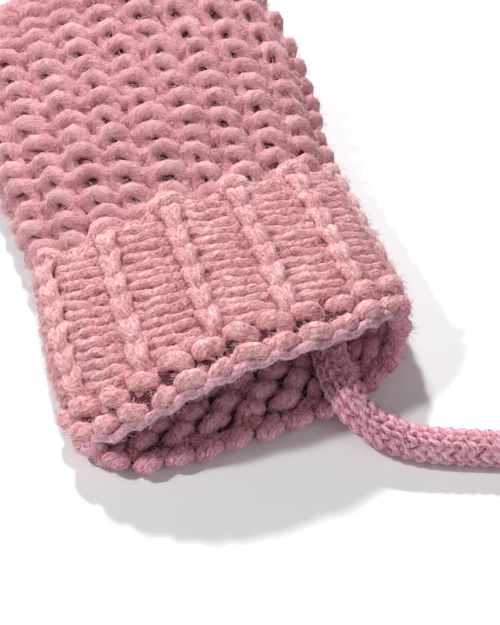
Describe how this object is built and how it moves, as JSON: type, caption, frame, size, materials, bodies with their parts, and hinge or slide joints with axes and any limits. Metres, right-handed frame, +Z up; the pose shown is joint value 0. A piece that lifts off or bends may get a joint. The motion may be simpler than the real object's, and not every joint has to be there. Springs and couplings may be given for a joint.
{
  "type": "pair of thumbless mittens",
  "caption": "Chunky knitted baby mittens without thumbs, ribbed cuffs, purl-side hands, joined by a knitted cord with its spare length folded beside them.",
  "frame": {"origin": "on the floor, under the middle of the two mittens", "axes": "+Z up, both mittens point along +Y with their open cuffs towards -Y, and +X runs from the left mitten to the right one"},
  "size_m": [0.2042, 0.1821, 0.0247],
  "materials": {
    "dusty_pink_knit": "soft fuzzy acrylic yarn, dusty rose pink",
    "dusty_pink_cord": "knitted cord of the same yarn, a little deeper"
  },
  "bodies": {
    "root": {"cuff_top_left": "dusty_pink_knit", "cuff_under_left": "dusty_pink_knit", "hand_top_left": "dusty_pink_knit", "hand_under_left": "dusty_pink_knit", "cuff_top_right": "dusty_pink_knit", "cuff_under_right": "dusty_pink_knit", "hand_top_right": "dusty_pink_knit", "hand_under_right": "dusty_pink_knit", "cord_left_end": "dusty_pink_cord", "cord_hank": "dusty_pink_cord", "cord_right_end": "dusty_pink_cord"}
  },
  "joints": []
}
